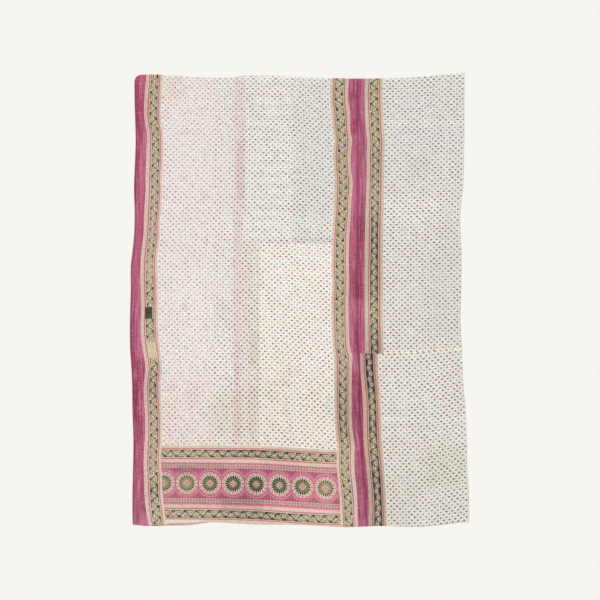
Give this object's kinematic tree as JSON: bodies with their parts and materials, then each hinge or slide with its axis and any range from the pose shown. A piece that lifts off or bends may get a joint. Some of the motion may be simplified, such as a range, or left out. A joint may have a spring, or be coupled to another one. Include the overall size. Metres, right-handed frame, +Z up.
{
  "type": "kantha quilt",
  "caption": "Large flat patchwork quilt of sewn cotton panels with lengthwise running-stitch ridges and wavy edges, for covering a bed.",
  "frame": {"origin": "on the surface that the quilt lies on, under the middle of its outline", "axes": "+Y up the length of the quilt, away from the medallion end band; +X towards the side panels; +Z up out of the printed face"},
  "size_m": [1.6601, 2.224, 0.0039],
  "materials": {
    "main_cloth": "matte",
    "upper_side_cloth": "matte",
    "lower_side_cloth": "matte",
    "label_cloth": "matte"
  },
  "bodies": {
    "root": {"main_panel": "main_cloth", "upper_side_panel": "upper_side_cloth", "lower_side_panel": "lower_side_cloth", "label": "label_cloth"}
  },
  "joints": []
}
